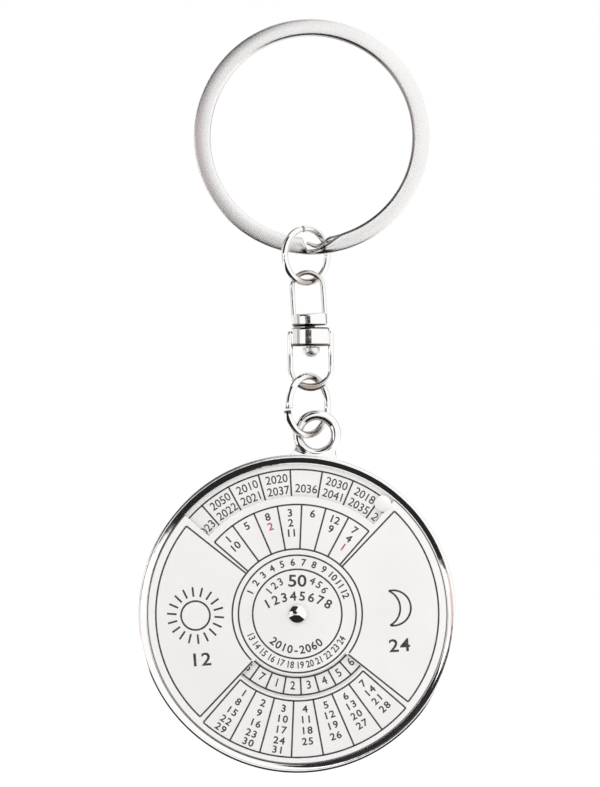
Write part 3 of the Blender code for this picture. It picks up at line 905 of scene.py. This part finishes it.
# %% The year plate
year_front = -0.55 * mm
year_back = -0.25 * mm
year_radius = 19.13 * mm
year_mesh = turned(plain_ring(bore_radius, year_radius, year_front, year_back), "Y", dish_steps)
piece("year_plate", year_mesh, medallion_place, plate_finish, "medallion", "year_disc")

# %% The month dial
dial_front = -1.2 * mm
dial_back = -0.8 * mm
dial_radius = 19.16 * mm
dial_edge = 0.06 * mm
dial_outline = [
    (bore_radius, dial_front),
    (dial_radius - dial_edge, dial_front),
    (dial_radius, dial_front + dial_edge),
    (dial_radius, dial_back),
    (bore_radius, dial_back),
]


def band_prism(inner, outer, half_deg, middle_deg):
    """A prism over a band of the dial, between two radii and either side of an angle."""
    flat = []
    for radius, way in ((inner, 1.0), (outer, -1.0)):
        for step in range(65):
            angle = radians(middle_deg + way * half_deg * (2.0 * step / 64 - 1.0))
            flat.append((radius * sin(angle), radius * cos(angle)))
    return skinned([[(x, y, z) for x, z in flat] for y in (dial_front - clearance, dial_back + clearance)])


notch_inner = 15.0 * mm
notch_half_deg = 44.6
window_inner = 7.85 * mm
window_outer = 10.7 * mm
window_half_deg = 46.6
pip_radius = 1.05 * mm
pip_rise = 0.15 * mm
pip_out = 17.8 * mm
pip_clock = 41.9
pip_angles = (0.3, 0.6, 0.9, 1.15, 1.35, 1.5708)
pip_outline = [(0.0, dial_front - pip_rise)]
pip_outline += [(pip_radius * sin(a), dial_front - pip_rise * cos(a)) for a in pip_angles]
pip_outline += [(pip_radius, dial_back), (0.0, dial_back)]
pip_mesh = turned(pip_outline, "Y", 48)
pip_mesh.transform(turn_y(pip_clock) @ at(0, 0, pip_out))
dial_mesh = combined(
    turned(dial_outline, "Y", dish_steps),
    ("DIFFERENCE", band_prism(notch_inner, dial_radius + clearance, notch_half_deg, 0.0)),
    ("DIFFERENCE", band_prism(window_inner, window_outer, window_half_deg, 180.0)),
    ("UNION", pip_mesh),
)
piece("month_plate", dial_mesh, dial_place, dial_finish, "month_dial", "month_dial")

# %% The rivet at the centre
head_seat = dial_front - 0.05 * mm
pin_radius = 0.75 * mm
tail_radius = 1.3 * mm
tail_front = pocket_floor + 0.05 * mm
tail_back = tail_front + 0.22 * mm
centre_rivet = dome(1.25 * mm, head_seat, -0.6 * mm, 12)[::-1]
centre_rivet += [(pin_radius, head_seat), (pin_radius, tail_front), (tail_radius, tail_front)]
centre_rivet += [(tail_radius, tail_back - rivet_edge), (tail_radius - rivet_edge, tail_back)]
centre_rivet.append((0.0, tail_back))
rivet_mesh = turned(centre_rivet, "Y")
piece("centre_rivet", rivet_mesh, medallion_place, nickel, "medallion", "dial_rivet")

# %% The washer keeps its CAD shape
washer = frame["nodes"]["friction_washer"]
for material_slot in washer.material_slots:
    material_slot.material = washer_finish

# %% [markdown]
# ## Printed lines
# Ink lies on the plate as a very thin layer. Arcs come from one recipe: an arc with a flat
# section. Rows of straight marks come from another: one bar, repeated round a circle by its
# index. That covers circles, columns, sectors and the rays of the sun.

# %% The recipe of a printed arc
ink_height = 0.016 * mm
line_width = 0.21 * mm
pixel = 0.1274 * mm
printed_arc = Recipe("printed_arc", "radius", "start", "sweep", "width", points="Int")
arc_sockets = {"Curve": arc_path(printed_arc, printed_arc.points)}
arc_flat = printed_arc.node("GeometryNodeSetCurveNormal", arc_sockets, mode="Z_UP")
bar_sockets = {0: printed_arc.width, 1: ink_height}
arc_bar = printed_arc.node("GeometryNodeCurvePrimitiveQuadrilateral", bar_sockets)
done_by_sweep(printed_arc, arc_flat, arc_bar)

# %% The recipe of marks round a circle
marks = Recipe("printed_marks", "inner", "outer", "first", "pitch", "width", number="Int")
mark_points = marks.node("GeometryNodeMeshLine", {"Count": marks.number})
mark_angle = marks.first + marks.pitch * marks.node("GeometryNodeInputIndex")
mark_middle = (marks.inner + marks.outer) / 2
mark_place = marks.vector(mark_middle * mark_angle.cosine(), mark_middle * mark_angle.sine())
mark_row = marks.node("GeometryNodeSetPosition", {"Geometry": mark_points, "Position": mark_place})
mark_size = marks.vector(marks.outer - marks.inner, marks.width, ink_height)
mark_bar = marks.node("GeometryNodeMeshCube", {"Size": mark_size})
mark_sockets = {"Points": mark_row, "Instance": mark_bar, "Rotation": marks.vector(z=mark_angle)}
marks.done(marks.node("GeometryNodeInstanceOnPoints", mark_sockets))


# %% Arcs and marks by clock angles, with radii in pixels
def inked(recipe, **values):
    """A recipe's mesh, stood up on the front."""
    mesh = recipe.run(material=black_ink, **values)
    mesh.transform(upright)
    return mesh


def arc_line(radius, from_deg, to_deg, width=line_width):
    """A printed arc from one clock angle to a later one."""
    return inked(
        printed_arc,
        radius=radius * pixel,
        start=radians(90.0 - to_deg),
        sweep=radians(to_deg - from_deg),
        width=width,
        points=max(8, int(abs(to_deg - from_deg) * 0.8)),
    )


def mark_lines(inner, outer, first_deg, pitch_deg, number, width=line_width):
    """Straight marks between two radii, from a first clock angle on."""
    return inked(
        marks,
        inner=inner * pixel,
        outer=outer * pixel,
        first=radians(90.0 - first_deg),
        pitch=radians(-pitch_deg),
        width=width,
        number=number,
    )


# %% Print on a plate
on_dial = (dial_front, dial_place, "month_dial")
on_year_plate = (year_front, medallion_place, "medallion")


def printed(name, meshes, material, front, place, body):
    """Joins printed meshes into one piece that lies on a plate's front."""
    shape = bmesh.new()
    for mesh in meshes:
        shape.from_mesh(mesh)
    lift = at(0, front - ink_height * 0.35, 0)
    made = piece(name, mesh_from(shape, name), place @ lift, material, body)
    made.data.shade_flat()


# %% [markdown]
# ## Numbers
# The dates, months, years and weekdays are plain numbers, set with the built-in font. Each one
# is a text curve that becomes a mesh, is widened or narrowed and spaced to the print's
# proportions, and is then turned to its place on the dial. Tops point outwards above the
# middle and inwards below it, so that they read upright in front of you.

# %% Set one number
digit_share = 0.72


def number(text, radius, clock_deg, height, width=1.0, flip=0.0, weight=0.022, apart=1.0):
    """Radius and height are in pixels, flip turns it in its place, and weight thickens it, in mm."""
    curve = bpy.data.curves.new("number", "FONT")
    curve.body = text
    curve.align_x = "CENTER"
    curve.align_y = "CENTER"
    curve.size = height * pixel / digit_share
    curve.extrude = ink_height / 2
    curve.offset = weight * mm
    curve.space_character = apart
    curve.resolution_u = 3
    mesh = settled(new_object("number", curve))
    wide = Matrix.Diagonal((width, 1.0, 1.0, 1.0))
    mesh.transform(turn_y(clock_deg) @ at(0, 0, radius * pixel) @ turn_y(flip) @ upright @ wide)
    return mesh


# %% [markdown]
# ## The print on the month dial
# Circles round the middle, seven month columns above, seven date columns below, and two
# closed sectors with a sun and a crescent. All radii are in print pixels of the reference,
# which are 0.127 mm.

# %% Lines of the dial
column = 360.0 / 28.0
seven = 3.5 * column
sector_edge = 47.5
sector = 180.0 - 2 * sector_edge
dial_lines = [
    arc_line(44.6, 0, 360),
    arc_line(58.8, 0, 360),
    arc_line(65.0, -131.0, 131.0),
    arc_line(109.5, -seven, seven),
    mark_lines(65.0, 109.5, -seven, column, 8),
    arc_line(87.0, 180.0 - seven, 180.0 + seven),
    arc_line(143.6, 180.0 - seven, 180.0 + seven),
    mark_lines(87.0, 143.6, 180.0 - seven, column, 8),
]
for start in (sector_edge, 180.0 + sector_edge):
    dial_lines.append(arc_line(141.5, start, start + sector))
    dial_lines.append(mark_lines(65.0, 141.5, start, sector, 2))

# %% Sun and crescent
sun_line = 0.23 * mm
bold_line = 0.24 * mm
sun_place = turn_y(-86.8) @ at(0, 0, 101.8 * pixel) @ turn_y(86.8)
moon_place = turn_y(90.5) @ at(0, 0, 92.4 * pixel) @ turn_y(-88.9)
sun = [arc_line(14.4, 0, 360, sun_line), mark_lines(19.0, 28.6, -2.1, 20.0, 18, bold_line)]
for mesh in sun:
    mesh.transform(sun_place)
crescent = []
for radius, half_deg, aside in ((17.65, 102.2, 3.75), (19.2, 64.0, -8.4)):
    arc = arc_line(radius, 90.0 - half_deg, 90.0 + half_deg, bold_line)
    arc.transform(moon_place @ at(aside * pixel, 0, 0))
    crescent.append(arc)
printed("dial_lines", dial_lines + sun + crescent, black_ink, *on_dial)

# %% Numbers of the dial
date_rows = [95.8, 106.3, 117.3, 128.2, 137.6]
black_meshes = []
for day in range(1, 32):
    clock = 179.4 - ((day - 1) % 7 - 3) * column
    row = date_rows[(day - 1) // 7]
    black_meshes.append(number(str(day), row, clock, 7.2, 1.08, flip=180.0, weight=0.027, apart=1.18))
month_rows = [101.0, 91.0, 80.8]
month_columns = [("1", "10"), ("5",), ("8", "2*"), ("3", "2", "11"), ("6",), ("12", "9"), ("7", "4", "1*")]
red_meshes = []
for k, names in enumerate(month_columns):
    for text, row in zip(names, month_rows):
        made = number(text.strip("*"), row, (k - 3) * column, 7.6, 1.05, weight=0.027)
        (red_meshes if text.endswith("*") else black_meshes).append(made)
for text, clock in (("12", -111.5), ("24", 111.5)):
    made = number(text, 107.2, clock, 13.0, 1.15, flip=-clock, weight=0.035, apart=1.1)
    black_meshes.append(made)
printed("dial_numbers", black_meshes, black_ink, *on_dial)
printed("leap_numbers", red_meshes, red_ink, *on_dial)

# %% [markdown]
# ## The numbers round the middle
# A ring of small numbers runs between the two circles, 1 to 12 above and 13 to 24 below. In
# the middle stand a span of years and plain rows, one of them on an arc of its own.

# %% Set the numbers round the middle
ring_meshes = [number("50", 32.5, -dial_turn, 12.0, 1.15, weight=0.035)]
for k in range(12):
    spread = k - 5.5
    ring_meshes.append(number(str(k + 1), 51.5, 5.0 + spread * 12.0, 6.9, weight=0.028))
    ring_meshes.append(number(str(k + 13), 51.5, 186.5 - spread * 11.2, 6.9, 0.82, flip=180.0))
for k, clock in enumerate((-47.0, -35.0, -23.5, 29.0, 41.0, 53.0)):
    ring_meshes.append(number(str(k + 1), 36.0, clock, 7.6))
for k in range(8):
    made = number(str(k + 1), 61.6, (k - 3.5) * 8.4, 9.2, 1.05, weight=0.03)
    made.transform(turn_y(-dial_turn) @ at(0.5 * pixel, 0, -44.2 * pixel))
    ring_meshes.append(made)
for k, text in enumerate("2010-2060"):
    ring_meshes.append(number(text, 36.4, 186.0 - (k - 4) * 9.8, 8.2, flip=180.0, weight=0.03))
printed("ring_numbers", ring_meshes, black_ink, *on_dial)

# %% [markdown]
# ## The print on the year plate
# The year plate carries a ring of 28 columns. Most hold two years, and the same columns go on
# inwards as boxes for the weekdays, numbered from 1 for Monday. The calendar works: with a year
# set over a month, each date stands at its weekday. Every seventh column starts its year on the
# same weekday, and each year moves one column back, or two after a leap day. So the columns in
# view give all the others, which are printed too, because the dial turns.

# %% Years and weekdays
year_middle = 3.6 - medallion_turn
year_columns = {
    0: ("2036",),
    1: ("2030", "2041"),
    2: ("2018", "2035"),
    24: ("", "2023"),
    25: ("2050", "2022"),
    26: ("2010", "2021"),
    27: ("2020", "2037"),
}
years_in_view = sum(year_columns.values(), ())
hidden_years = [year for year in range(2010, 2061) if str(year) not in years_in_view]
for kind in range(7):
    alike = [str(year) for year in hidden_years if (4 - year - year // 4) % 7 == kind]
    for k in range(kind, 28, 7):
        if k not in year_columns:
            year_columns[k] = tuple(alike[:2])
            del alike[:2]
year_meshes = []
for k, names in sorted(year_columns.items()):
    rows = (125.0,) if len(names) == 1 else (135.6, 123.7)
    for text, row in zip(names, rows):
        if text:
            clock = year_middle + 0.5 + k * column
            year_meshes.append(number(text, row, clock, 8.5, 0.96, weight=0.012))
for k in range(28):
    weekday = str((k + 1) % 7 + 1)
    clock = year_middle + (14 - k) * column
    year_meshes.append(number(weekday, 72.5, clock, 8.4, 0.9, flip=180.0))
first_edge = year_middle - column / 2
year_lines = [arc_line(radius, 0, 360) for radius in (144.4, 81.5, 64.0)]
year_lines += [mark_lines(*radii, first_edge, column, 28) for radii in ((118.0, 144.4), (64.0, 81.5))]
printed("year_lines", year_lines, black_ink, *on_year_plate)
printed("year_numbers", year_meshes, black_ink, *on_year_plate)

# %% [markdown]
# ## Camera
# The photograph looks straight at the medallion from far away. Its frame is 600 by 787 pixels
# of 0.127 mm, so a long lens at half a metre gives the same picture.

# %% The camera
frame_height = 787 * pixel
frame_x = -1.45 * mm
frame_z = -45.64 * mm
front_plane = -0.9 * mm
lens = 120.0
sensor = 24.0
camera_data = bpy.data.cameras.new("camera")
camera_data.sensor_fit = "VERTICAL"
camera_data.sensor_height = sensor
camera_data.lens = lens
camera_data.clip_start = 0.01
camera = new_object("camera", camera_data)
camera.location = (frame_x, -frame_height * lens / sensor + front_plane, frame_z)
camera.rotation_euler = (radians(90.0), 0.0, 0.0)
scene.camera = camera
print("camera distance:", round(-camera.location.y, 4), "m")

# %% [markdown]
# ## Studio
# Polished metal shows what is round it more than its own colour. A photographer puts it in a
# white tent with a few dark cards, and the cards give the metal its dark lines. The world is
# the tent: cameras and reflections see white, and everything else gets a plain even light. The
# cards are planes with soft edges that only reflections see, so they cast no shadow and the
# camera looks through them. A card hides the ones behind it, and a small card close to the
# rings shows in their wire and not in the flat plates. One more stands behind the keychain,
# for the views from the back.


# %% The tent
def bare_tree(owner):
    """The emptied node tree of a material or a world."""
    owner.use_nodes = True
    owner.node_tree.nodes.clear()
    return Tree(owner.node_tree)


def sees_background(tree):
    """1 for rays from the camera and for reflected and transmitted ones."""
    names = ("Is Camera Ray", "Is Glossy Ray", "Is Transmission Ray")
    rays = [tree.node("ShaderNodeLightPath", output=name) for name in names]
    return rays[0].larger(rays[1]).larger(rays[2])


world = bpy.data.worlds.new("studio")
scene.world = world
tent = bare_tree(world)
white = (1.0, 1.0, 1.0, 1.0)
even_light = tent.node("ShaderNodeBackground", {0: (1.0, 0.995, 0.99, 1.0), 1: 0.92})
white_view = tent.node("ShaderNodeBackground", {0: white, 1: 1.0})
sky_sockets = {0: sees_background(tent), 1: even_light, 2: white_view}
whole_sky = tent.node("ShaderNodeMixShader", sky_sockets)
tent.node("ShaderNodeOutputWorld", {0: whole_sky})


# %% A dark card
def card(name, place, half_width, half_height, colour, soft):
    """A plane in its own XY with soft edges, seen by reflections only."""
    material = bpy.data.materials.new(name)
    tree = bare_tree(material)
    x, y, _ = tree.parts(tree.node("ShaderNodeTexCoord", output="Object"))
    across = 1.0 - abs(x).ramp(half_width - soft, half_width)
    along = 1.0 - abs(y).ramp(half_height - soft, half_height)
    nothing = tree.node("ShaderNodeBsdfTransparent")
    shade = tree.node("ShaderNodeEmission", {0: (*colour, 1.0), 1: 1.0})
    mixed = tree.node("ShaderNodeMixShader", {0: across * along, 1: nothing, 2: shade})
    tree.node("ShaderNodeOutputMaterial", {0: mixed})
    shape = bmesh.new()
    corners = ((-1, -1), (1, -1), (1, 1), (-1, 1))
    shape.faces.new([shape.verts.new((a * half_width, b * half_height, 0.0)) for a, b in corners])
    made = new_object(name, mesh_from(shape, name))
    made.data.materials.append(material)
    made.matrix_world = place
    for rays in ("camera", "diffuse", "transmission", "shadow"):
        setattr(made, "visible_" + rays, False)


object_middle = Vector((frame_x, 0.0, -48.0 * mm))


def toward(off_axis_deg, clock_deg, distance):
    """A place seen from the object at an angle off the camera's axis, on a side of the clock."""
    off_axis = radians(off_axis_deg)
    clock = radians(clock_deg)
    aside = sin(off_axis)
    line = Vector((aside * sin(clock), -cos(off_axis), aside * cos(clock)))
    spot = object_middle + line * distance
    return at(*spot) @ line.to_track_quat("Z", "Y").to_matrix().to_4x4()


# %% Hang the cards
black = (0.02, 0.018, 0.018)
card("card_left", toward(78.0, 270.0, 0.30), 0.08, 0.20, (0.50, 0.44, 0.42), 0.04)
card("card_shade", toward(112.0, 265.0, 0.30), 0.13, 0.20, (0.80, 0.78, 0.77), 0.05)
card("card_behind", toward(108.0, 335.0, 0.35), 0.17, 0.16, (0.05, 0.05, 0.05), 0.05)
card("card_upper_left", toward(50.0, 322.0, 0.40), 0.25, 0.22, (0.02, 0.02, 0.025), 0.03)
card("card_grey", toward(18.0, 288.0, 0.45), 0.098, 0.13, (0.52, 0.465, 0.47), 0.03)
card("card_slim", at(-0.090, -0.36, -0.029) @ upright, 0.132, 0.010, black, 0.003)
card("card_near", at(-0.040, -0.20, -0.0675) @ upright, 0.036, 0.0155, black, 0.005)
card("card_nearer", at(-0.0345, -0.10, -0.055) @ upright, 0.0275, 0.015, black, 0.004)
card("card_back", at(0.15, 0.45, 0.05) @ upright, 0.40, 0.30, (0.30, 0.30, 0.31), 0.25)
card("card_warm", toward(30.0, 226.0, 0.42), 0.15, 0.14, (0.80, 0.62, 0.60), 0.06)
card("card_low", at(-0.03, -0.17, -0.131), 0.115, 0.25, (0.02, 0.02, 0.02), 0.02)

# %% The lamp
lamp_data = bpy.data.lights.new("soft_lamp", "AREA")
lamp_data.size = 0.8
lamp_data.energy = 1.8
lamp = new_object("soft_lamp", lamp_data)
lamp.location = (-0.35, -0.6, 0.35)
lamp.rotation_euler = (Vector((0, 0, -0.05)) - lamp.location).to_track_quat("-Z", "Y").to_euler()

# %% The floor
floor_material = bpy.data.materials.new("floor")
floor_tree = bare_tree(floor_material)
floor_lit = floor_tree.node("ShaderNodeBsdfDiffuse", {0: white})
floor_glow = floor_tree.node("ShaderNodeEmission", {0: white, 1: 1.05})
floor_share = sees_background(floor_tree) * 0.85
floor_mix = floor_tree.node("ShaderNodeMixShader", {0: floor_share, 1: floor_lit, 2: floor_glow})
floor_tree.node("ShaderNodeOutputMaterial", {0: floor_mix})
shape = bmesh.new()
bmesh.ops.create_circle(shape, cap_ends=True, segments=96, radius=1.2)
floor = new_object("floor", mesh_from(shape, "floor"))
floor.data.materials.append(floor_material)
floor.location = (0.0, 0.0, -0.135)

# %% Colour
scene.view_settings.view_transform = "Standard"
